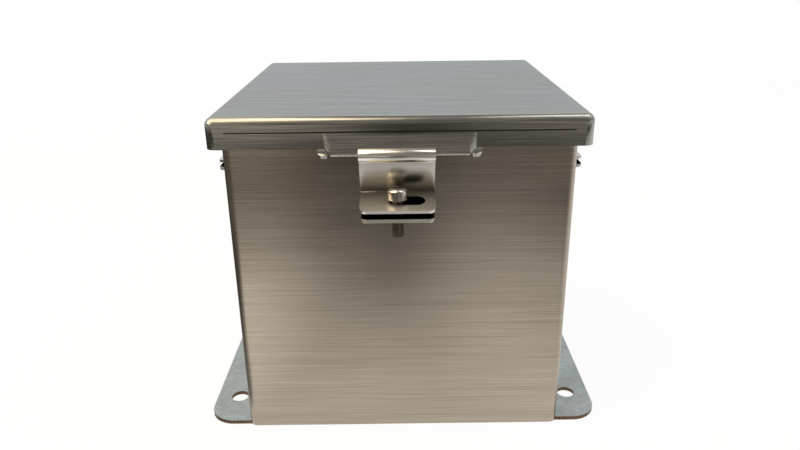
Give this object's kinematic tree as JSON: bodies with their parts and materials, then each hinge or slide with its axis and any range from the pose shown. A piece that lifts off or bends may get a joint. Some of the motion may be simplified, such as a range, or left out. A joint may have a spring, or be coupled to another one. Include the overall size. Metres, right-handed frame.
{
  "type": "electrical enclosure",
  "caption": "Square stainless steel junction box with mounting ears at the back and a gasketed lift-off cover that screw clamps hold down on each side.",
  "frame": {"origin": "middle of the mounting face, which is the outer face of the back plate", "axes": "+Z away from the wall that carries the box, towards the cover; +X along the longer side of the back plate, from ear to ear; -Y towards the front of the picture"},
  "size_m": [0.194, 0.1884, 0.1555],
  "materials": {
    "brushed_stainless": "brushed along the wall",
    "mill_stainless": "dull mill finish",
    "satin_stainless": "satin",
    "polished_stainless": "smooth, half polished",
    "bright_stainless": "bright turned steel",
    "foam_rubber": "matt closed-cell foam"
  },
  "bodies": {
    "box": {"box_shell": "brushed_stainless", "back_plate": "mill_stainless", "panel_studs": "mill_stainless", "ground_stud": "mill_stainless", "ground_washer": "bright_stainless", "ground_nut": "bright_stainless", "front_bracket": "polished_stainless", "right_bracket": "polished_stainless", "rear_bracket": "polished_stainless", "left_bracket": "polished_stainless"},
    "cover": {"lid": "satin_stainless", "lid_gasket": "foam_rubber"},
    "front_clamp_body": {"front_clamp": "polished_stainless"},
    "front_screw_body": {"front_clamp_screw": "bright_stainless"},
    "right_clamp_body": {"right_clamp": "polished_stainless"},
    "right_screw_body": {"right_clamp_screw": "bright_stainless"},
    "rear_clamp_body": {"rear_clamp": "polished_stainless"},
    "rear_screw_body": {"rear_clamp_screw": "bright_stainless"},
    "left_clamp_body": {"left_clamp": "polished_stainless"},
    "left_screw_body": {"left_clamp_screw": "bright_stainless"}
  },
  "joints": [
    {"name": "lid_lift", "type": "slide", "parent": "box", "child": "cover", "axis": [0, 0, 1], "range_m": [0, 0.18]},
    {"name": "front_clamp_shift", "type": "slide", "parent": "cover", "child": "front_clamp_body", "axis": [-1, 0, 0], "range_m": [0, 0.008]},
    {"name": "front_screw_turn", "type": "hinge", "parent": "cover", "child": "front_screw_body", "pos_m": [-0.0013, -0.08595, 0.112], "axis": [0, 0, 1], "continuous": true},
    {"name": "right_clamp_shift", "type": "slide", "parent": "cover", "child": "right_clamp_body", "axis": [0, -1, 0], "range_m": [0, 0.008]},
    {"name": "right_screw_turn", "type": "hinge", "parent": "cover", "child": "right_screw_body", "pos_m": [0.08595, -0.0013, 0.112], "axis": [0, 0, 1], "continuous": true},
    {"name": "rear_clamp_shift", "type": "slide", "parent": "cover", "child": "rear_clamp_body", "axis": [1, 0, 0], "range_m": [0, 0.008]},
    {"name": "rear_screw_turn", "type": "hinge", "parent": "cover", "child": "rear_screw_body", "pos_m": [0.0013, 0.08595, 0.112], "axis": [0, 0, 1], "continuous": true},
    {"name": "left_clamp_shift", "type": "slide", "parent": "cover", "child": "left_clamp_body", "axis": [0, 1, 0], "range_m": [0, 0.008]},
    {"name": "left_screw_turn", "type": "hinge", "parent": "cover", "child": "left_screw_body", "pos_m": [-0.08595, 0.0013, 0.112], "axis": [0, 0, 1], "continuous": true}
  ]
}
